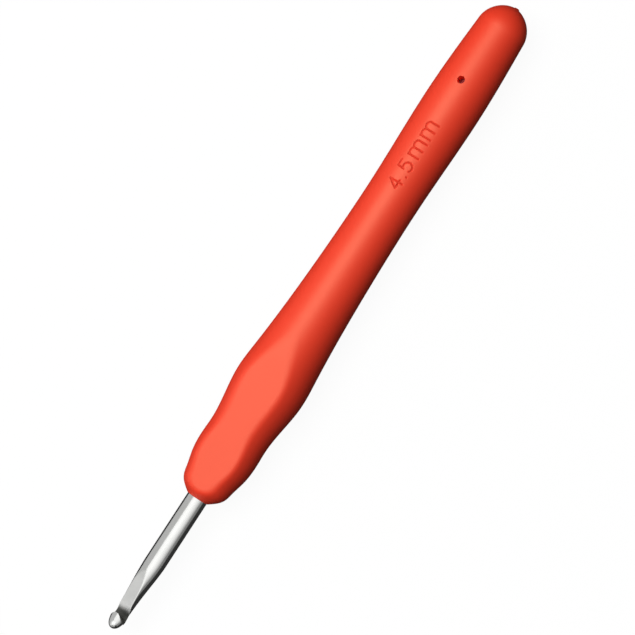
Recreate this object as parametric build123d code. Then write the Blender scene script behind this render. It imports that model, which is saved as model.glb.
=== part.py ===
from build123d import *
import os
from math import radians, tan

# A crochet hook with a soft moulded grip: an aluminium needle with its hook at the tip,
# a rigid plastic core that holds the needle's tang, and a soft grip moulded over the core.
# Millimetres, +Z up. The origin is on the needle's axis where the needle leaves the grip.
# The hook's tip points along -X and the grip's round end along +X. The thumb rest and the
# small pin hole are on the +Z side, and the hook's mouth is turned a little from it to +Y.

# ---- driving dimensions: needle ----
shaft_d = 4.5            # the hook's size: loops of yarn are formed on this diameter
needle_out = 31.5        # length from the nose of the grip to the tip
hook_len = 15.8          # from the tip back to where the shaft has its full diameter
throat_pinch = 0.75      # how far each side is pressed in at the throat, behind the mouth
throat_rise = 0.65       # how far the underside is pressed up at the throat
head_pinch = 0.55        # how far each side of the head stays inside the shaft's side
head_drop = 0.05         # how far the top of the head stays under the shaft's top
head_rise = 1.35         # how far the underside of the head is over the shaft's underside
head_nose = 2.6          # from the tip back to the widest part of the head
lip_len = 3.7            # from the tip back to the edge of the lip
mouth_len = 1.9          # from the edge of the lip back to the foot of the ramp
mouth_fall = 1.75        # length of the slope from the ramp's foot down to the mouth's floor
mouth_floor = 0.0        # height of the mouth's floor over the axis
mouth_round = 0.5        # radius at the bottom of the mouth
lip_lean = 26.0          # degrees that the lip leans back over the mouth
ramp_foot = 0.9          # height over the axis where the ramp meets the mouth
ramp_gap = 2.0           # from the top of the flat ramp to where the shaft is straight
mouth_turn = 14.0        # degrees that the mouth is turned from +Z towards +Y

# ---- driving dimensions: tang, inside the core ----
tang_shoulder = 0.25     # the tang is this much thinner all round than the shaft
tang_len = 62.0          # from the nose of the grip to the tang's end
tang_flat_len = 14.0     # length of the two flats that stop the needle turning
tang_flat_depth = 0.45   # how deep each flat is cut into the tang
tang_groove_w = 2.0      # ring groove that stops the needle pulling out
tang_groove_depth = 0.35
tang_groove_back = 22.0  # from the tang's end to the middle of the groove

# ---- driving dimensions: core ----
core_set_back = 2.0      # soft wall in front of the core
core_end_wall = 9.5      # soft wall behind the core
core_wall = 1.3          # plastic round the tang
core_corner = 1.2        # rounding of the core's rear end
rib_h = 0.6              # rings on the core that key into the soft grip
rib_w = 2.0
rib_pitch = 12.0
rib_first = 14.0         # from the front of the core to its first ring

# ---- driving dimensions: soft grip ----
grip_len = 118.5         # from the nose to the round end
nose_rim = 0.15          # thickness of the grip's edge round the needle
front_swell_d = 13.1
front_swell_x = 12.5
waist_dip = 0.075        # how much the radius shrinks between the two swells
waist_gap = 2.9          # from the front swell to the waist
thumb_swell_d = 15.3     # the widest part of the grip
thumb_swell_gap = 14.3   # from the front swell to the thumb swell
slim_d = 11.4            # the slimmest part of the grip
slim_back = 44.0         # from the grip's end to its slimmest part
rear_swell_d = 12.15
rear_swell_back = 22.5   # from the grip's end to its rear swell
dome_d = 10.75           # where the round end begins
dome_len = 5.9
rest_wall = 0.76         # soft wall over the core where the rest's plane crosses the nose
rest_rise = 4.75         # degrees that the thumb rest rises towards the round end

# shares of the way along a stretch of the outline, and of the change in its radius
nose_shape = ((0, 0), (0.12, 0.44), (0.36, 0.74), (0.61, 0.92), (1, 1))
neck_shape = ((0.12, 0.83), (0.47, 0.27), (0.73, 0.06), (1, 0))
dome_shape = (0.62, 0.76)

# ---- driving dimensions: pin hole, left by the pin that held the core in the mould ----
pin_hole_d = 1.55
pin_hole_back = 18.8     # from the grip's end to the hole
pin_dimple = 0.6         # how far the hole goes into the core

# ---- worked out from the above ----
shaft_r = shaft_d / 2
straight_len = needle_out - hook_len
throat_w = shaft_d - 2 * throat_pinch
throat_under = shaft_r - throat_rise
head_w = shaft_d - 2 * head_pinch
head_top = shaft_r - head_drop
head_under = shaft_r - head_rise
ramp_len = hook_len - lip_len - mouth_len - ramp_gap
tip_x = -needle_out
widest_x = tip_x + head_nose
lip_x = tip_x + lip_len
mouth_x = lip_x + mouth_len
tang_r = shaft_r - tang_shoulder
core_r = tang_r + core_wall
core_x1 = grip_len - core_end_wall
thumb_swell_x = front_swell_x + thumb_swell_gap
slim_x = grip_len - slim_back
rear_swell_x = grip_len - rear_swell_back
dome_x = grip_len - dome_len
pin_x = grip_len - pin_hole_back
across = 2 * (shaft_d + thumb_swell_d)   # longer than anything is wide


def section_plane(x):
    """A plane across the hook, looking along +X: its own x is +Y and its own y is +Z."""
    return Plane(origin=(x, 0, 0), x_dir=(0, 1, 0), z_dir=(1, 0, 0))


def round_bar(x0, x1, radius):
    """A round bar along X from x0 to x1."""
    return extrude(section_plane(x0) * Circle(radius), x1 - x0)


def oval(x, width, under, top):
    """An oval section of the needle, given its width and its reach below and above the axis."""
    middle = (top - under) / 2
    return section_plane(x) * Pos(0, middle) * Ellipse(width / 2, (top + under) / 2)


def needle_blank():
    """The needle before its mouth is cut: shaft, taper to the throat and rounded head."""
    half_taper_x = -(straight_len - mouth_x) / 2
    taper = loft([
        oval(-straight_len, shaft_d, shaft_r, shaft_r),
        oval(half_taper_x, (shaft_d + throat_w) / 2, (shaft_r + throat_under) / 2, shaft_r),
        oval(mouth_x, throat_w, throat_under, shaft_r),
        oval(widest_x, head_w, head_under, head_top),
    ])
    quarter = make_face(Curve() + [
        CenterArc((0, 0), 1, 90, 90), Line((-1, 0), (0, 0)), Line((0, 0), (0, 1)),
    ])
    head_height = head_top + head_under
    nose = scale(revolve(quarter, Axis.X), by=(head_nose, head_w / 2, head_height / 2))
    nose = Pos(widest_x, 0, (head_top - head_under) / 2) * nose
    shaft = round_bar(-straight_len, 0, shaft_r)
    tang = round_bar(0, tang_len, tang_r)
    return shaft + tang + taper + nose


def mouth_cut():
    """The tool that cuts the mouth under the lip and the flat ramp behind it."""
    above = shaft_r + 1
    ramp_slope = (shaft_r - ramp_foot) / ramp_len
    ramp_top_x = mouth_x + ramp_len + (above - shaft_r) / ramp_slope
    lean = tan(radians(lip_lean))
    floor_x0 = lip_x - (head_top - mouth_floor) * lean
    floor_x1 = mouth_x - mouth_fall
    side = Polyline(
        (ramp_top_x, above),
        (mouth_x, ramp_foot),
        (floor_x1, mouth_floor),
        (floor_x0, mouth_floor),
        (lip_x + (above - head_top) * lean, above),
        close=True,
    )
    outline = make_face(Plane.XZ * side)
    tool = extrude(outline, across / 2, both=True)
    floor_edges = tool.edges().filter_by(Axis.Y).sort_by(Axis.Z)[:2]
    return fillet(floor_edges, min(mouth_round, 0.5 * (floor_x1 - floor_x0)))


def tang_cut():
    """What is cut from the tang: two flats at its end and a ring groove."""
    block = Pos(tang_len, 0, tang_r - tang_flat_depth + across / 2)
    flat = block * Box(2 * tang_flat_len, across, across)
    groove_x0 = tang_len - tang_groove_back - tang_groove_w / 2
    groove_x1 = groove_x0 + tang_groove_w
    ring = (round_bar(groove_x0, groove_x1, 2 * tang_r)
            - round_bar(groove_x0, groove_x1, tang_r - tang_groove_depth))
    return [flat, mirror(flat, about=Plane.XY), ring]


def hook_needle():
    """One aluminium piece from the tip of the hook to the end of its tang."""
    needle = Rot(-mouth_turn, 0, 0) * (needle_blank() - mouth_cut())
    for tool in tang_cut():
        needle -= tool
    return needle


def pin_hole():
    """The blind hole through the soft grip and a little way into the core."""
    bottom = core_r - pin_dimple
    return Pos(pin_x, 0, bottom) * extrude(Circle(pin_hole_d / 2), across)


def handle_core(needle):
    """The rigid bar inside the grip, with its key rings and the needle's socket."""
    bar = round_bar(core_set_back, core_x1, core_r)
    bar = fillet(bar.edges().sort_by(Axis.X)[-1], min(core_corner, 0.9 * core_r))
    x = core_set_back + rib_first
    while x + rib_w < pin_x:
        bar += round_bar(x, x + rib_w, core_r + rib_h)
        x += rib_pitch
    return bar - needle - pin_hole()


def grip_outline():
    """Half the grip's side view, closed along the axis, in the plane of X and Y."""
    rim_r = shaft_r + nose_rim
    front_r, thumb_r, slim_r = front_swell_d / 2, thumb_swell_d / 2, slim_d / 2
    flank = Spline(
        *[(along * front_swell_x, rim_r + up * (front_r - rim_r)) for along, up in nose_shape],
        (front_swell_x + waist_gap, front_r - waist_dip),
        (thumb_swell_x, thumb_r),
        *[(thumb_swell_x + along * (slim_x - thumb_swell_x), slim_r + up * (thumb_r - slim_r))
          for along, up in neck_shape],
        (rear_swell_x, rear_swell_d / 2),
        (dome_x, dome_d / 2),
    )
    along, up = dome_shape
    dome = Spline(
        flank @ 1,
        (dome_x + along * dome_len, up * dome_d / 2),
        (grip_len, 0),
        tangents=(flank % 1, (0, -1)),
        tangent_scalars=(1, 1),
    )
    axis = Line((grip_len, 0), (0, 0))
    nose = Line((0, 0), flank @ 0)
    return make_face(Curve() + [flank, dome, axis, nose])


def rest_cut():
    """The tool that cuts the flat thumb rest: all that is above the rest's sloping plane."""
    plane = Pos(0, 0, core_r + rest_wall) * Rot(0, -rest_rise, 0)
    return plane * Pos(0, 0, across / 2) * Box(2 * grip_len, across, across)


def soft_grip(needle, core):
    """The soft grip: round body, thumb rest above, finger rest below, pin hole."""
    body = revolve(grip_outline(), Axis.X)
    rest = rest_cut()
    body = body - rest - mirror(rest, about=Plane.XY)
    return body - needle - core - pin_hole()


def main():
    os.makedirs("parts", exist_ok=True)
    needle = hook_needle()
    core = handle_core(needle)
    grip = soft_grip(needle, core)
    for name, shape in (("hook_needle", needle), ("handle_core", core), ("soft_grip", grip)):
        export_step(shape, f"parts/{name}.step")


main()
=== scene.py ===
# %% [markdown]
# # A crochet hook with a soft grip
#
# A crochet hook of this kind is two things in the hand: a short, polished aluminium needle
# that forms the loops, and a long soft grip moulded over a hidden plastic core. This lesson
# builds both as clean meshes around the engineering model, gives them their finishes, and
# lights them on a pale floor.
#
# The engineering model is the frame. Its sizes are final, so every piece made here takes its
# place and its main sizes from it. The needle lies along X with its tip at -X, the origin is
# where the needle leaves the grip, and the thumb rest looks up, to +Z.

# %% Load the frame
from math import cos, pi, radians, sin, tan

import bmesh
import bpy
import numpy as np
from mathutils import Matrix, Vector
from mathutils.kdtree import KDTree


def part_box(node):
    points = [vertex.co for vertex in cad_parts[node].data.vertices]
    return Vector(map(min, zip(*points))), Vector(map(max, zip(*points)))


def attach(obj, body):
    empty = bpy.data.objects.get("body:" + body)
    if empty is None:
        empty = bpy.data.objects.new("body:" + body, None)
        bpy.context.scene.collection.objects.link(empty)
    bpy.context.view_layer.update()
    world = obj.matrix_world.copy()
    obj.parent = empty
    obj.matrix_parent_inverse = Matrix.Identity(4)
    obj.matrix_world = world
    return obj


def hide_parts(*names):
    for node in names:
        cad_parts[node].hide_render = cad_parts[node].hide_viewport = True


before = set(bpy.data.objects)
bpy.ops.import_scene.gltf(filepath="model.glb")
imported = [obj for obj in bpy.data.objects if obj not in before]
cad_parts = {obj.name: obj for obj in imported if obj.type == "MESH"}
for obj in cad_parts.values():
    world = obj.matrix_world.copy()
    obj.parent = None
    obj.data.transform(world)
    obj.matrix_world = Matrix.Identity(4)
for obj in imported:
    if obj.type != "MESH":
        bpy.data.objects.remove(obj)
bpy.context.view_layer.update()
print("nodes:", sorted(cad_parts))

# %% [markdown]
# Everything below is worked out in millimetres, as a maker would, and turned into metres
# once, when a mesh is finished. The frame gives the sizes that matter: how long the grip is,
# how wide its swell is, where the needle ends and how thick the hidden core is.

# %% Read the main sizes from the frame
MM = 0.001


def corners(node):
    """A node's lowest and highest corners, in millimetres."""
    low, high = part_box(node)
    return low / MM, high / MM


needle_low, needle_high = corners("hook_needle")
grip_low, grip_high = corners("soft_grip")
core_low, core_high = corners("handle_core")
grip_len = grip_high.x
shaft_r = -needle_low.z
tip_x = needle_low.x
tang_len = needle_high.x
core_x0, core_x1 = core_low.x, core_high.x
ring_r = core_high.z
print(f"grip {grip_len:.1f} mm long, {2 * grip_high.y:.1f} mm wide")
print(f"needle {2 * shaft_r:.2f} mm thick, its tip {-tip_x:.1f} mm in front of the grip")

# %% [markdown]
# ## The camera
#
# The hook is seen from above, turned a little so that its left flank shows less than its
# right one, and it lies across the picture from the lower left to the upper right. A long
# lens far away keeps the two ends the same scale, as in a catalogue picture.
#
# The easiest way to set such a camera is to say what its picture should show: the point it
# looks at, the direction it looks from, how far the needle's axis is turned in the picture,
# and how wide the view is at the object.

# %% Set the camera
VIEW_TILT = radians(14)       # how far the camera leans over to the -Y side
VIEW_TURN = radians(56.96)    # how far the needle's axis is turned in the picture
VIEW_WIDTH = 128.75 * MM      # width of the view at the hook
LENS = 160.0                  # a long lens
AXIS_POINT = Vector((52.15, 0, 0)) * MM
AIM_LEFT, AIM_DOWN = 4.09 * MM, 7.10 * MM   # from there to the middle of the picture

along = Vector((1, 0, 0))
across = Vector((0, cos(VIEW_TILT), sin(VIEW_TILT)))
back = along.cross(across)
right = along * cos(VIEW_TURN) - across * sin(VIEW_TURN)
up = along * sin(VIEW_TURN) + across * cos(VIEW_TURN)
aim = AXIS_POINT - right * AIM_LEFT - up * AIM_DOWN

camera_data = bpy.data.cameras.new("camera")
camera_data.lens = LENS
camera_data.dof.use_dof = False
camera_distance = VIEW_WIDTH * LENS / camera_data.sensor_width
camera = bpy.data.objects.new("camera", camera_data)
turn = Matrix((right, up, back)).transposed().to_4x4()
camera.matrix_world = Matrix.Translation(aim + back * camera_distance) @ turn
bpy.context.scene.collection.objects.link(camera)
bpy.context.scene.camera = camera
print(f"camera {camera_distance:.3f} m away")

# %% [markdown]
# ## Outlines as smooth curves
#
# The grip and the needle are both mostly round, so each is an outline turned about the axis.
# An outline of this kind is best given by the few places where its width changes, with a
# smooth curve through them. A natural cubic spline is that curve: the line that a thin
# springy batten takes when it is pinned at those places.

# %% A springy batten through a few stations
def batten(*stations):
    """A natural cubic spline through (place, size) stations, as a function of place."""
    place, size = np.array(sorted(stations), float).T
    gap = np.diff(place)
    pull = np.eye(len(place))
    load = np.zeros(len(place))
    for i in range(1, len(place) - 1):
        pull[i, i - 1:i + 2] = gap[i - 1], 2 * (gap[i - 1] + gap[i]), gap[i]
        load[i] = 6 * ((size[i + 1] - size[i]) / gap[i] - (size[i] - size[i - 1]) / gap[i - 1])
    bend = np.linalg.solve(pull, load)

    def at(x):
        x = min(max(x, place[0]), place[-1])
        i = min(max(int(np.searchsorted(place, x)) - 1, 0), len(gap) - 1)
        a, b = (place[i + 1] - x) / gap[i], (x - place[i]) / gap[i]
        sag = (a**3 - a) * bend[i] + (b**3 - b) * bend[i + 1]
        return float(a * size[i] + b * size[i + 1] + sag * gap[i] ** 2 / 6)

    return at


def ease(x, low, high):
    """0 below low, 1 above high, and a smooth rise between them."""
    t = min(max((x - low) / (high - low), 0), 1)
    return t * t * (3 - 2 * t)


def soft_min(a, b, blend):
    """The smaller of two heights, rounded over where they meet."""
    share = min(max(0.5 + 0.5 * (b - a) / blend, 0), 1)
    return b + (a - b) * share - blend * share * (1 - share)


def soft_max(a, b, blend):
    """The larger of two heights, rounded over where they meet."""
    return -soft_min(-a, -b, blend)


# %% [markdown]
# ## The soft grip
#
# The grip is moulded from a soft elastomer round the core. Its outline swells in front,
# swells more under the thumb, runs slim through the palm and swells again before its round
# end. Round bodies like this are spun: half the outline is drawn once in the plane of X and
# Y, and bmesh turns it about the X axis.
#
# The stations are the same ones that the engineering model turns on.

# %% The grip's outline
RIM = 0.15            # the grip's edge stands this much outside the needle
FRONT_X, FRONT_R = 12.5, 6.55
WAIST_X, WAIST_R = 15.4, 6.475
THUMB_X, THUMB_R = 26.8, grip_high.y
SLIM_R = 5.7
REAR_R = 6.075
DOME_LEN, DOME_R = 5.9, 5.375
DOME_TAPER = 1.12     # 1 is an ellipse, and more is slimmer towards the end
GATE_H = 0.12         # the gate mark stands this much out of the round end
SLIM_BACK, REAR_BACK = 44.0, 22.5     # both are measured from the grip's end
slim_x = grip_len - SLIM_BACK
rear_x = grip_len - REAR_BACK
dome_x = grip_len - DOME_LEN
dome_end = grip_len - GATE_H
rim_r = shaft_r + RIM


def on_nose(along_it, up_it):
    """A station between the rim and the front swell, as shares of the way and the rise."""
    return FRONT_X * along_it, rim_r + up_it * (FRONT_R - rim_r)


def on_neck(along_it, up_it):
    """A station between the thumb swell and the slim palm, as shares in the same way."""
    return THUMB_X + along_it * (slim_x - THUMB_X), SLIM_R + up_it * (THUMB_R - SLIM_R)


flank = batten(
    on_nose(0, 0), on_nose(0.12, 0.44), on_nose(0.36, 0.74), on_nose(0.61, 0.92), on_nose(1, 1),
    (WAIST_X, WAIST_R),
    (THUMB_X, THUMB_R),
    on_neck(0.12, 0.83), on_neck(0.47, 0.27), on_neck(0.73, 0.06), on_neck(1, 0),
    (rear_x, REAR_R),
    (dome_x, DOME_R),
)


def dome(angle):
    """A point on the round end, from its start at 0 to the axis at 90 degrees."""
    return dome_x + (dome_end - dome_x) * sin(angle), DOME_R * cos(angle) ** DOME_TAPER


print("radius at the thumb swell, the palm and the rear swell:",
      [round(flank(x), 2) for x in (THUMB_X, slim_x, rear_x)])

# %% [markdown]
# A spin needs the outline as a chain of vertices. They stand 0.3 mm apart, and closer on the
# steep nose and the round end. The chain starts inside, on the axis at the end of the hidden
# core, follows the core forward over its key rings to the snug bore round the needle, turns at
# the rim and goes back along the outside to the round end. Spun, it is one closed shell with a
# real wall.

# %% The grip's outline as a chain of points
STEP, NOSE_STEP, NOSE_END = 0.3, 0.12, 3.0
ROUND_STEPS, DOME_STEPS = 144, 30
RIM_EDGE = 0.05
RING_H, RING_W, RING_PITCH, FIRST_RING = 0.6, 2.0, 12.0, 14.0
CORE_CORNER = 1.2
TANG_SHOULDER = 0.25  # the tang is this much thinner all round than the shaft
PIN_BACK = 18.8       # from the grip's end to the pin hole
core_r = ring_r - RING_H
tang_r = shaft_r - TANG_SHOULDER
pin_x = grip_len - PIN_BACK
outside_r = ring_r + 0.5      # further out than anything inside the grip

inside = [(core_x1, 0), (core_x1, core_r - CORE_CORNER), (core_x1 - CORE_CORNER, core_r)]
ring_places = np.arange(core_x0 + FIRST_RING, pin_x - RING_W, RING_PITCH)
for x in reversed(ring_places):
    inside += [(x + RING_W, core_r), (x + RING_W, ring_r), (x, ring_r), (x, core_r)]
inside += [(core_x0, core_r), (core_x0, tang_r), (0, tang_r)]
rim = [(0, rim_r - RIM_EDGE), (RIM_EDGE / 3, rim_r - RIM_EDGE / 3)]
nose = [(x, flank(x)) for x in np.arange(NOSE_STEP / 2, NOSE_END, NOSE_STEP)]
body = [(x, flank(x)) for x in np.arange(NOSE_END, dome_x, STEP)]
round_end = [dome(angle) for angle in np.linspace(0, pi / 2, DOME_STEPS)]
grip_chain = inside + rim + nose + body + round_end
print(len(grip_chain), "points in the grip's outline,", len(ring_places), "rings")

# %% Spin the outline
def chain(mesh, points):
    """A line of vertices and edges through (x, radius) points, in the plane of X and Y."""
    verts = [mesh.verts.new((x, r, 0)) for x, r in points]
    return verts + [mesh.edges.new(pair) for pair in zip(verts, verts[1:])]


def spin(mesh, geometry, steps):
    """Turn a chain about the X axis into a closed round body."""
    bmesh.ops.spin(mesh, geom=geometry, cent=(0, 0, 0), axis=(1, 0, 0), dvec=(0, 0, 0),
                   angle=2 * pi, steps=steps, use_merge=True, use_duplicate=False)
    bmesh.ops.remove_doubles(mesh, verts=mesh.verts, dist=0.001)
    bmesh.ops.recalc_face_normals(mesh, faces=mesh.faces)


def open_edges(mesh):
    """How many edges don't have exactly two faces. A closed shell has none."""
    return sum(not edge.is_manifold for edge in mesh.edges)


grip = bmesh.new()
spin(grip, chain(grip, grip_chain), ROUND_STEPS)
print("grip:", len(grip.verts), "vertices,", open_edges(grip), "open edges")

# %% [markdown]
# ### The thumb rest
#
# The thumb lies in a flat cut into the round body, and the forefinger has the same flat on
# the underside. The cut's plane rises gently towards the round end, so it is deep at the
# front swell and runs out behind the thumb swell. Moulded rubber has no sharp edges, so the
# skin isn't sliced: every point above the plane is pressed down onto it with a soft minimum,
# which rounds the rim of the flat by itself.

# %% Press the rests into the skin
REST_WALL = 0.76                # rubber left over the core at the nose
REST_DEPTH = core_r + REST_WALL
REST_SLOPE = tan(radians(4.75))
REST_EDGE = 0.55                # how softly the flat's rim is rounded


def press_rests(mesh):
    """Flatten the shell above and below to the rests' two planes."""
    for vert in mesh.verts:
        plane = REST_DEPTH + REST_SLOPE * vert.co.x
        side = 1 if vert.co.z > 0 else -1
        vert.co.z = side * soft_min(abs(vert.co.z), plane, REST_EDGE)


press_rests(grip)
print("grip's height over the rests:", round(2 * max(v.co.z for v in grip.verts), 2))

# %% [markdown]
# ### The parting line
#
# The two halves of the mould met along the grip's left and right side. A faint ridge is left
# there, thinner than a sheet of paper. The spin put a line of vertices exactly on each side, so
# it is enough to draw those out a little.

# %% Raise the parting line
PARTING_H = 0.035
ON_PLANE = 0.01         # nearer to the parting plane than any other vertex


def raise_parting_line(mesh):
    """Draw the outer vertices of the parting plane outwards."""
    for vert in mesh.verts:
        outside = abs(vert.co.y) > outside_r
        if outside and abs(vert.co.z) < ON_PLANE:
            vert.co.y += PARTING_H if vert.co.y > 0 else -PARTING_H


raise_parting_line(grip)
print("grip's width:", round(2 * max(v.co.y for v in grip.verts), 2))

# %% [markdown]
# ### The size mark
#
# The hook's size is pressed into the grip with thin plain strokes. Each glyph is a few
# straight strokes and arcs. The skin round the mark is divided finely, and each point of it
# sinks by how near it is to a stroke, which gives the soft walls of a moulded letter.

# %% Strokes of the size mark
MARK_X = 74.25          # where the mark starts
MARK_BASE = -1.55       # its baseline, across the grip
MARK_DEPTH = 0.2
STROKE = 0.26           # from a stroke's middle to the top of its soft wall
DOT_GAP = 0.03          # between the points that follow a stroke
DIGIT_H, LETTER_H = 2.95, 2.5


def line(a, b):
    """Points along a straight stroke."""
    count = max(2, int((Vector(b) - Vector(a)).length / DOT_GAP))
    return [Vector(a).lerp(Vector(b), i / count) for i in range(count + 1)]


def arc(centre, rx, ry, start, end):
    """Points along an arc, with its angles in degrees."""
    turns = np.radians(np.linspace(start, end, 61))
    return [Vector((centre[0] + rx * cos(t), centre[1] + ry * sin(t))) for t in turns]


def four():
    stem, bar = 1.35, 0.85
    return (line((stem, 0), (stem, DIGIT_H)) + line((stem, DIGIT_H), (0, bar))
            + line((0, bar), (stem + 0.5, bar)))


def point():
    return line((0, 0.05), (0, 0.12))


def five():
    corner, bowl = 0.35, 0.97
    return (line((1.75, DIGIT_H), (corner, DIGIT_H)) + line((corner, DIGIT_H), (0.2, 1.55))
            + arc((0.9, bowl), 0.92, bowl, 140, -140))


def letter_m():
    half, arch = 0.825, 0.72
    top = LETTER_H - arch
    strokes = line((0, 0), (0, LETTER_H))
    for middle in (half, 3 * half):
        strokes += arc((middle, top), half, arch, 180, 0)
        strokes += line((middle + half, top), (middle + half, 0))
    return strokes


glyphs = [(0, four()), (3.0, point()), (4.0, five()), (7.35, letter_m()), (11.8, letter_m())]
ink = [Vector((MARK_X + x + p.x, MARK_BASE + p.y, 0)) for x, pts in glyphs for p in pts]
strokes_tree = KDTree(len(ink))
for index, spot in enumerate(ink):
    strokes_tree.insert(spot, index)
strokes_tree.balance()
print("the mark is", round(max(p.x for p in ink) - MARK_X, 1), "mm long")

# %% Sink the mark into the skin
MARK_MARGIN = 0.6
mark_end = max(p.x for p in ink)
mark_share = grip.verts.layers.float.new("mark")


def near_mark(co):
    """Whether a place is on the skin round the mark."""
    return (co.z > outside_r
            and MARK_X - MARK_MARGIN < co.x < mark_end + MARK_MARGIN
            and MARK_BASE - MARK_MARGIN < co.y < MARK_BASE + DIGIT_H + MARK_MARGIN)


patch = [f for f in grip.faces if near_mark(f.calc_center_median())]
patch_edges = list({e for f in patch for e in f.edges})
bmesh.ops.subdivide_edges(grip, edges=patch_edges, cuts=3, use_grid_fill=True)
for vert in grip.verts:
    if near_mark(vert.co):
        away = strokes_tree.find(Vector((vert.co.x, vert.co.y, 0)))[2]
        vert[mark_share] = 1 - ease(away, 0, STROKE)
        top = (flank(vert.co.x) ** 2 - vert.co.y ** 2) ** 0.5
        vert.co.z = top - MARK_DEPTH * vert[mark_share]
print(len(patch), "faces divided for the mark")

# %% [markdown]
# ### The round end
#
# The rubber was injected at the middle of the round end. The sprue is cut off there, and a
# small flat mark is left, a little off centre.

# %% Leave the gate mark
GATE_R = 0.6
GATE_REACH = 0.6        # how much of the round end's tip the mark may move
gate = Vector((0, -0.3, 0.1))
for vert in grip.verts:
    if vert.co.x > dome_end - GATE_REACH:
        away = (Vector((0, vert.co.y, vert.co.z)) - gate).length
        vert.co.x += (dome_end + GATE_H - vert.co.x) * (1 - ease(away, GATE_R * 0.75, GATE_R))
print("grip ends at", round(max(v.co.x for v in grip.verts), 2))

# %% Make objects of finished meshes
def finish_mesh(mesh, name, sharp=None):
    """Turn a bmesh in millimetres into an object in metres, smooth unless an edge is sharp."""
    bmesh.ops.scale(mesh, vec=(MM, MM, MM), verts=mesh.verts)
    data = bpy.data.meshes.new(name)
    mesh.to_mesh(data)
    mesh.free()
    data.shade_smooth()
    if sharp is not None:
        data.set_sharp_from_angle(angle=radians(sharp))
    piece = bpy.data.objects.new(name, data)
    bpy.context.scene.collection.objects.link(piece)
    return piece


grip_piece = finish_mesh(grip, "grip_skin")

# %% [markdown]
# ### The pin hole
#
# A pin held the core in the middle of the mould while the rubber flowed round it, and left
# a small round hole. A hole with a crisp edge is best cut with a boolean. The cutter flares
# a little at the skin, so that the rim isn't knife-sharp.

# %% Cut the pin hole
PIN_R, PIN_STEPS = 1.55 / 2, 48
PAST = 0.5              # how far the cutter goes past what it cuts
pin_top = flank(pin_x)
pin_side = [(core_r - PAST, 0), (core_r - PAST, PIN_R), (pin_top - 0.1, PIN_R),
            (pin_top - 0.02, PIN_R + 0.04), (pin_top + PAST, PIN_R + 0.56), (pin_top + PAST, 0)]
cutter = bmesh.new()
spin(cutter, chain(cutter, pin_side), PIN_STEPS)
bmesh.ops.rotate(cutter, verts=cutter.verts, matrix=Matrix.Rotation(-pi / 2, 3, "Y"))
bmesh.ops.translate(cutter, verts=cutter.verts, vec=(pin_x, 0, 0))
cutter_piece = finish_mesh(cutter, "pin_cutter")


def cut(piece, tool):
    """Subtract one closed mesh from another for good."""
    boolean = piece.modifiers.new("cut", "BOOLEAN")
    boolean.operation = "DIFFERENCE"
    boolean.solver = "EXACT"
    boolean.object = tool
    view = bpy.context.evaluated_depsgraph_get()
    result = bpy.data.meshes.new_from_object(piece.evaluated_get(view))
    piece.modifiers.clear()
    piece.data = result
    bpy.data.objects.remove(tool)


cut(grip_piece, cutter_piece)
grip_piece.data.set_sharp_from_angle(angle=radians(40))
print("grip:", len(grip_piece.data.polygons), "faces, its layers:",
      [a.name for a in grip_piece.data.attributes])

# %% [markdown]
# ## The needle
#
# The needle starts as a straight rod. Towards the tip its sides are pressed in to a narrow
# throat and swell again to an egg-shaped head. Then the mouth is cut under the lip, with a
# flat ramp that leads the yarn into it.
#
# As with the grip, a spin makes the rod and the points are then moved: first onto oval
# sections, and then down onto the profile of the cut. The rod's rings stand close together
# where the shape turns quickly, at the lip and in the mouth. On the head's nose they are
# placed by angle, as on a globe.

# %% The rod
HEAD_NOSE = 2.6
WIDEST_X = tip_x + HEAD_NOSE
LIP_X = tip_x + 3.7
MOUTH_X = LIP_X + 1.9
STRAIGHT_X = tip_x + 15.8
HALF_TAPER_X = (STRAIGHT_X + MOUTH_X) / 2
GROOVE_X, GROOVE_HALF_W, GROOVE_DEPTH = tang_len - 22, 1.0, 0.35
FLATS_X, FLAT_DEPTH = tang_len - 14, 0.45
SHARP = 0.01            # the length of a step that should look sharp
NEEDLE_STEPS = 96

NOSE_ANGLES = (84, 78, 72, 65, 58, 51, 44, 37, 30)
STRETCHES = (           # from, to, and the distance between the rings
    (WIDEST_X - 1.25, WIDEST_X + 0.4, 0.025),
    (WIDEST_X + 0.4, MOUTH_X + 0.3, 0.06),
    (MOUTH_X + 0.3, STRAIGHT_X, 0.18),
    (STRAIGHT_X, -0.6, 1.2),
)
rings = [WIDEST_X - HEAD_NOSE * sin(radians(angle)) for angle in NOSE_ANGLES]
for stretch in STRETCHES:
    rings += list(np.arange(*stretch))
rod = [(tip_x, 0)] + [(x, shaft_r) for x in rings + [0]]
groove_x0, groove_x1 = GROOVE_X - GROOVE_HALF_W, GROOVE_X + GROOVE_HALF_W
groove_r = tang_r - GROOVE_DEPTH
tang = [
    (0, tang_r),
    (groove_x0, tang_r), (groove_x0 + SHARP, groove_r),
    (groove_x1 - SHARP, groove_r), (groove_x1, tang_r),
    (FLATS_X, tang_r), (FLATS_X + SHARP, tang_r), (tang_len, tang_r), (tang_len, 0),
]
needle = bmesh.new()
spin(needle, chain(needle, rod + tang), NEEDLE_STEPS)
print("rod:", len(needle.verts), "vertices,", open_edges(needle), "open edges")

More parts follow.
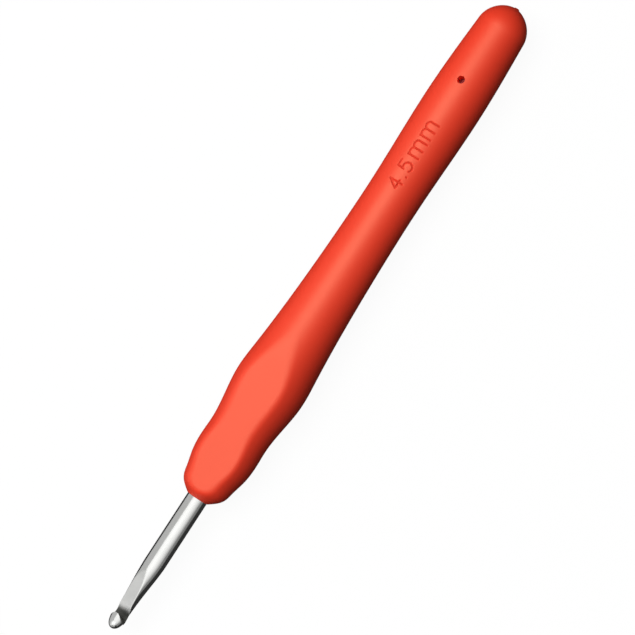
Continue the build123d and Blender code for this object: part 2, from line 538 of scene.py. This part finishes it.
# %% Press the rod to the needle's sections
HEAD_HALF_W, HEAD_UNDER, HEAD_TOP = 1.7, 0.9, 2.2
THROAT_HALF_W, THROAT_UNDER = 1.5, 1.6
straight = ((STRAIGHT_X, shaft_r), (STRAIGHT_X + 4, shaft_r))   # two stations keep it level
half_width = batten((WIDEST_X, HEAD_HALF_W), (MOUTH_X, THROAT_HALF_W),
                    (HALF_TAPER_X, (shaft_r + THROAT_HALF_W) / 2), *straight)
underside = batten((WIDEST_X, HEAD_UNDER), (MOUTH_X, THROAT_UNDER),
                   (HALF_TAPER_X, (shaft_r + THROAT_UNDER) / 2), *straight)
topside = batten((WIDEST_X, HEAD_TOP), (MOUTH_X, shaft_r), *straight)


def section(x, c, s):
    """Where the point of the rod at place x and direction (c, s) comes to lie."""
    at = min(max(x, WIDEST_X), STRAIGHT_X)
    under, top = underside(at), topside(at)
    round_off = max(1 - (max(WIDEST_X - x, 0) / HEAD_NOSE) ** 2, 0) ** 0.5
    middle, half_height = (top - under) / 2, (top + under) / 2
    return c * half_width(at) * round_off, middle + s * half_height * round_off


for vert in needle.verts:
    if vert.co.x < STRAIGHT_X:
        c, s = vert.co.y / shaft_r, vert.co.z / shaft_r
        vert.co.y, vert.co.z = section(vert.co.x, c, s)
print("head is", round(2 * max(v.co.y for v in needle.verts if v.co.x < LIP_X), 2), "mm wide")

# %% [markdown]
# The mouth's profile is a height for each place on the needle: a steep wall under the lip, a
# rounded floor, a slope that climbs out of it, and then the long flat ramp. Seen from above,
# the wall bends forward at both sides, which gives the lip its beak. Points above the profile
# are pressed down to it.
#
# The lip of a real hook also leans back over the mouth, so that it catches the yarn, and a
# height alone can't overhang. So the last step shears the lip backwards, more the higher a
# point stands. Two layers remember how far each point was pressed, for the gloss, and how deep
# it lies, for the painted shade at the bottom of the mouth.

# %% Cut the mouth and lean the lip
FLOOR_Z, FOOT_Z = 0.0, 0.9      # heights of the mouth's floor and the ramp's foot
RAMP_LEN, FALL_LEN = 8.2, 1.75
LEAN = tan(radians(26))
WALL_X = LIP_X - LEAN * (HEAD_TOP - FLOOR_Z)
WALL_STEEP = 9.0
BEAK = 0.32                     # how much the lip's edge is rounded, seen from above
FOOT_ROUND, FLOOR_ROUND, WALL_ROUND, EDGE_ROUND = 0.12, 0.25, 0.5, 0.16
PRESSED = (0.02, 0.12)          # how far a point moves before it counts as pressed
# The next range is where painted shade darkens the bottom of the mouth.
PIT_SHADE_DEPTHS = (0.2, 0.85)              # how far under the ramp's foot a point counts as deep
LEAN_IN = (tip_x + 0.4, WALL_X - 0.1)           # the lean grows over the head
LEAN_OUT = (WALL_X + 0.3, MOUTH_X - 0.3)        # and ends in the mouth


def mouth(x, y):
    """The height that the cut leaves at place x, y."""
    wall = FLOOR_Z + (WALL_X - BEAK * y * y - x) * WALL_STEEP
    fall = FOOT_Z + (x - MOUTH_X) * (FOOT_Z - FLOOR_Z) / FALL_LEN
    ramp = FOOT_Z + (x - MOUTH_X) * (shaft_r - FOOT_Z) / RAMP_LEN
    climb = soft_min(fall, ramp, FOOT_ROUND)
    return soft_max(soft_max(climb, FLOOR_Z, FLOOR_ROUND), wall, WALL_ROUND)


def cut_mouth(mesh):
    """Press the rod down to the mouth's profile."""
    pressed = mesh.verts.layers.float.new("pressed")
    # The second layer says where painted shade darkens the bottom of the mouth.
    pit_shade = mesh.verts.layers.float.new("pit_shade")
    for vert in mesh.verts:
        if vert.co.x < STRAIGHT_X:
            height = soft_min(vert.co.z, mouth(vert.co.x, vert.co.y), EDGE_ROUND)
            vert[pressed] = ease(vert.co.z - height, *PRESSED)
            vert[pit_shade] = vert[pressed] * ease(FOOT_Z - height, *PIT_SHADE_DEPTHS)
            vert.co.z = height


def lean_lip(mesh):
    """Shear the lip back over the mouth."""
    for vert in mesh.verts:
        share = ease(vert.co.x, *LEAN_IN) * (1 - ease(vert.co.x, *LEAN_OUT))
        vert.co.x += LEAN * share * max(vert.co.z - FLOOR_Z, 0)


cut_mouth(needle)
lean_lip(needle)
print("the mouth's floor is", round(shaft_r - FLOOR_Z, 2), "mm under the shaft's top")

# %% [markdown]
# The mouth isn't quite in line with the thumb rest: the needle is turned a little in the
# handle. Then the tang, which nobody sees, gets the two flats that key it into the core.

# %% Turn the mouth and flatten the tang
MOUTH_TURN = radians(14)
bmesh.ops.rotate(needle, verts=needle.verts, matrix=Matrix.Rotation(-MOUTH_TURN, 3, "X"))
flat_z = tang_r - FLAT_DEPTH
for vert in needle.verts:
    if vert.co.x > FLATS_X + SHARP / 2:
        vert.co.z = min(max(vert.co.z, -flat_z), flat_z)
bmesh.ops.recalc_face_normals(needle, faces=needle.faces)
needle_piece = finish_mesh(needle, "needle", sharp=50)
print("needle:", len(needle_piece.data.polygons), "faces")

# %% [markdown]
# ## Finishes
#
# A finish is a small network of nodes. Written node by node it is long and hard to read, so
# one small class wraps a socket and lets ordinary arithmetic build the Math nodes.

# %% Shader maths as arithmetic
class Wire:
    """A socket that can be added to and multiplied like a number."""

    def __init__(self, tree, socket):
        self.tree, self.socket = tree, socket

    def node(self, kind, settings=None, output=0, **inputs):
        """Add a node. An input is named by its socket, or by i and its number."""
        made = self.tree.nodes.new(kind)
        for key, value in (settings or {}).items():
            setattr(made, key, value)
        for key, value in inputs.items():
            numbered = key[1:].isdigit()
            target = made.inputs[int(key[1:]) if numbered else key.replace("_", " ")]
            if isinstance(value, Wire):
                self.tree.links.new(value.socket, target)
            else:
                target.default_value = value
        return Wire(self.tree, made.outputs[output])

    def maths(self, operation, a, b):
        """A Math node on two values or wires."""
        return self.node("ShaderNodeMath", {"operation": operation}, i0=a, i1=b)

    def mix(self, share, a, b):
        """A colour between a and b."""
        return self.node("ShaderNodeMix", {"data_type": "RGBA"}, output=2, i0=share, i6=a, i7=b)

    def __add__(self, other):
        return self.maths("ADD", self, other)

    def __radd__(self, other):
        return self.maths("ADD", other, self)

    def __mul__(self, other):
        return self.maths("MULTIPLY", self, other)

    def __rmul__(self, other):
        return self.maths("MULTIPLY", other, self)


def new_finish(name, **constants):
    """A material, a wire for places on the piece, and its Principled shader."""
    material = bpy.data.materials.new(name)
    material.use_nodes = True
    tree = material.node_tree
    shader = next(n for n in tree.nodes if n.type == "BSDF_PRINCIPLED")
    for key, value in constants.items():
        shader.inputs[key.replace("_", " ")].default_value = value
    place = Wire(tree, tree.nodes.new("ShaderNodeTexCoord").outputs["Object"])
    return material, place, shader


def feed(shader, socket, wire):
    """Link a wire to one of the shader's sockets."""
    wire.tree.links.new(wire.socket, shader.inputs[socket])


# %% [markdown]
# ### Soft red elastomer
#
# The grip's rubber is a strong warm red with a dull satin skin. Up close the mould's fine
# spark-eroded grain shows, and the tone drifts a little along the body. Where the size mark is
# sunk, the mould was left rougher, so the strokes are duller. Their colour is also mixed towards
# a darker red, which is painted shade in the sunk strokes.

# %% The grip's finish
RED, PALE_RED = (0.87, 0.042, 0.017, 1), (0.93, 0.049, 0.021, 1)
# The darker red is painted shade for the sunk strokes of the size mark.
MARK_SHADE_RED = (0.50, 0.014, 0.008, 1)


def soft_elastomer():
    finish, place, shader = new_finish(
        "soft_elastomer", Specular_IOR_Level=0.68, Specular_Tint=(1.0, 0.85, 0.54, 1))
    drift = place.node("ShaderNodeTexNoise", Vector=place, Scale=60.0, Detail=3.0)
    grain = place.node("ShaderNodeTexNoise", Vector=place, Scale=4200.0, Detail=2.0)
    mark = place.node("ShaderNodeAttribute", {"attribute_name": "mark"}, output=2)
    skin = place.mix(drift, RED, PALE_RED)
    # Painted shade: the sunk strokes are mixed towards the darker red.
    feed(shader, "Base Color", place.mix(0.55 * mark, skin, MARK_SHADE_RED))
    feed(shader, "Roughness", 0.42 + 0.14 * grain + 0.25 * mark)
    feed(shader, "Normal", place.node("ShaderNodeBump", Height=grain, Strength=0.1,
                                      Distance=0.00004))
    return finish


# %% [markdown]
# ### Drawn aluminium
#
# The rod was drawn through a die and polished, which leaves very fine lines along it. They are
# a noise that is stretched along X, and they change the gloss more than the shape. The mouth
# and its ramp were pressed in afterwards and only tumbled, so they are duller and a bit uneven.
# The bottom of the mouth is mixed towards a dark grey, which is painted shade in the pit.

# %% The needle's finish
GREY, PALE_GREY = (0.80, 0.805, 0.78, 1), (0.91, 0.91, 0.90, 1)
# The dark grey is painted shade for the bottom of the mouth.
PIT_SHADE_GREY = (0.12, 0.12, 0.11, 1)


def polished_aluminium():
    finish, place, shader = new_finish("polished_aluminium", Metallic=1.0)
    stretched = place.node("ShaderNodeMapping", Vector=place, Scale=(1, 14, 14))
    lines = place.node("ShaderNodeTexNoise", Vector=stretched, Scale=500.0, Detail=4.0)
    clouds = place.node("ShaderNodeTexNoise", Vector=place, Scale=350.0, Detail=3.0)
    pressed = place.node("ShaderNodeAttribute", {"attribute_name": "pressed"}, output=2)
    pit_shade = place.node("ShaderNodeAttribute", {"attribute_name": "pit_shade"}, output=2)
    bright = place.mix(clouds, GREY, PALE_GREY)
    # Painted shade: deep in the mouth the colour goes to the dark grey.
    feed(shader, "Base Color", place.mix(pit_shade, bright, PIT_SHADE_GREY))
    feed(shader, "Roughness", 0.12 + 0.10 * lines + (0.19 + 0.20 * clouds) * pressed)
    feed(shader, "Normal", place.node("ShaderNodeBump", Height=lines, Strength=0.05,
                                      Distance=0.00003))
    return finish


# %% [markdown]
# ### The core's plastic
#
# The core is a plain moulding in a darker red. It shows only at the bottom of the pin hole.

# %% The core's finish
CORE_RED, PALE_CORE_RED = (0.50, 0.010, 0.012, 1), (0.58, 0.016, 0.016, 1)


def core_plastic():
    finish, place, shader = new_finish("core_plastic")
    drift = place.node("ShaderNodeTexNoise", Vector=place, Scale=300.0, Detail=2.0)
    feed(shader, "Base Color", place.mix(drift, CORE_RED, PALE_CORE_RED))
    feed(shader, "Roughness", 0.38 + 0.1 * drift)
    return finish


# %% Put the finishes on
def dress(piece, finish):
    """Give a piece one finish all over."""
    piece.data.materials.clear()
    piece.data.materials.append(finish)


dress(grip_piece, soft_elastomer())
dress(needle_piece, polished_aluminium())
core_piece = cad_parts["handle_core"]
core_finish = core_plastic()
for material_slot in core_piece.material_slots:
    material_slot.material = core_finish
for piece in (grip_piece, needle_piece, core_piece):
    print(piece.name, "is finished in", piece.active_material.name)

# %% [markdown]
# ## Studio
#
# The hook lies in a white cove: a floor that curves up into a wall all round, so that no edge
# or horizon shows from any side. A real cove is lit so brightly that it turns pure white and
# hides its own shadows. Here a glow does that, and the cove is left out of the reflections and
# bounced light, so that only the lamps shape the hook.

# %% The cove
FLOOR_R, BEND_R, WALL_H = 3000.0, 1500.0, 4000.0
COVE_GLOW, COVE_WHITE = 0.95, 0.05
MIDDLE_X = 50.0         # near the middle of the hook


def studio_cove():
    """The floor and the walls round it, turned about the upright line through the hook."""
    centre = Vector((MIDDLE_X, 0, grip_low.z))
    bend = [radians(a) for a in range(0, 91, 15)]
    profile = [(0, 0)] + [(FLOOR_R + BEND_R * sin(a), BEND_R * (1 - cos(a))) for a in bend]
    profile.append((FLOOR_R + BEND_R, WALL_H))
    mesh = bmesh.new()
    verts = [mesh.verts.new(centre + Vector((r, 0, h))) for r, h in profile]
    edges = [mesh.edges.new(pair) for pair in zip(verts, verts[1:])]
    bmesh.ops.spin(mesh, geom=verts + edges, cent=centre, axis=(0, 0, 1), dvec=(0, 0, 0),
                   angle=2 * pi, steps=48, use_merge=True, use_duplicate=False)
    bmesh.ops.remove_doubles(mesh, verts=mesh.verts, dist=0.1)
    cove = finish_mesh(mesh, "cove")
    finish = new_finish(
        "cove_white", Roughness=0.9, Base_Color=(COVE_WHITE,) * 3 + (1,), Specular_IOR_Level=0.0,
        Emission_Color=(1, 1, 1, 1), Emission_Strength=COVE_GLOW)[0]
    dress(cove, finish)
    cove.visible_diffuse = False
    cove.visible_glossy = False
    return cove


cove = studio_cove()
print("cove:", len(cove.data.polygons), "faces")

# %% [markdown]
# ### Lamps
#
# Rubber and metal want different light, and in a studio each lamp is flagged so that it
# reaches only what it is meant for. Blender does that with light linking: a lamp lists its
# receivers.
#
# - The key, a softbox that leans a little to the hook's left, does most of the work on the
#   grip. A ceiling panel fills it from above and a reflector, low on the left, keeps that side
#   warm. On the right there is only a weak fill, so the grip falls off to deep red there. The
#   fill is kept out of the rubber's gloss, where it would draw a second highlight.
# - The needle mirrors one wide panel behind a grid. A grid dims towards its edges, which gives
#   the round metal its slow turn from white to black. A grey card on the left draws the grey
#   band along that side, a dim strip low on the right draws the thin edge against the dark,
#   and a card beyond the tip gives the head something to mirror.

# %% The lamps
hook_middle = Vector((MIDDLE_X, 0, 0)) * MM


def lamp(name, receivers, lean, distance, size, glow, spread=180, endwise=0.0, length=None,
         aside=0.0):
    """A flat lamp that faces the hook, in metres. It leans from straight above to the left by
    so many degrees, and endwise moves it to the round end or, when negative, to the tip. Its
    glow is how bright it looks from the hook, its length is along the hook, and aside moves it
    to the left in its own plane. A spread under 180 degrees is a grid in front of it."""
    light = bpy.data.lights.new(name, "AREA")
    light.shape = "RECTANGLE"
    light.size, light.size_y = length or size, size
    light.spread = radians(spread)
    half = radians(spread / 2)
    grid = tan(half) / (tan(half) - half) if spread < 180 else 1
    light.energy = glow * pi * light.size * light.size_y / grid
    holder = bpy.data.objects.new(name, light)
    towards = Vector((endwise, sin(radians(lean)), cos(radians(lean)))).normalized()
    side = (Vector((1, 0, 0)) - towards * towards.x).normalized()
    left = towards.cross(side)
    place = hook_middle + towards * distance + left * aside
    facing = Matrix((side, left, towards)).transposed().to_4x4()
    holder.matrix_world = Matrix.Translation(place) @ facing
    holder.visible_camera = False
    lit = bpy.data.collections.new(name + "_receivers")
    for piece in receivers:
        lit.objects.link(piece)
    holder.light_linking.receiver_collection = lit
    bpy.context.scene.collection.objects.link(holder)
    return holder


soft_side = (grip_piece, core_piece, cove)
metal_side = (needle_piece,)
lamp("key", soft_side, lean=14, distance=0.9, size=0.62, glow=5.15)
lamp("ceiling", soft_side, lean=0, distance=0.9, size=2.2, glow=1.0, spread=100)
lamp("needle_panel", metal_side, lean=0, distance=0.9, size=3.7, glow=1.2,
     spread=144, length=3.2, aside=-1.34)
lamp("needle_card", metal_side, lean=67, distance=0.8, size=1.2, glow=0.48,
     endwise=-0.3, length=2.0)
lamp("needle_rim", metal_side, lean=-80, distance=0.9, size=0.5, glow=0.2, length=2.0)
lamp("needle_end", metal_side, lean=20, distance=0.9, size=1.0, glow=0.35, endwise=-2.4)
lamp("reflector", soft_side, lean=67, distance=0.8, size=0.8, glow=0.85, endwise=-0.5)
fill = lamp("fill", (grip_piece,), lean=-75, distance=1.2, size=1.2, glow=0.08)
fill.visible_glossy = False
print("lamps:", [lit.name for lit in bpy.data.lights])

# %% [markdown]
# The world adds only a breath of white, which keeps the darkest places from going quite black.
# The Standard view shows the colours as they are set, without a film's soft shoulder.

# %% The world and the view
WORLD_GLOW = 0.03
world = bpy.data.worlds.new("studio")
world.use_nodes = True
backdrop = world.node_tree.nodes["Background"]
backdrop.inputs["Color"].default_value = (1, 1, 1, 1)
backdrop.inputs["Strength"].default_value = WORLD_GLOW
bpy.context.scene.world = world
bpy.context.scene.view_settings.view_transform = "Standard"

# %% [markdown]
# ## Hand the pieces to the frame
#
# Each new piece rides on the one rigid body, and the engineering solid that it stands for is
# hidden.

# %% Ride and replace
PIECES = ((grip_piece, "soft_grip", "grip"), (needle_piece, "hook_needle", "needle"))
for piece, node, slot in PIECES:
    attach(piece, "root")
    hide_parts(node)
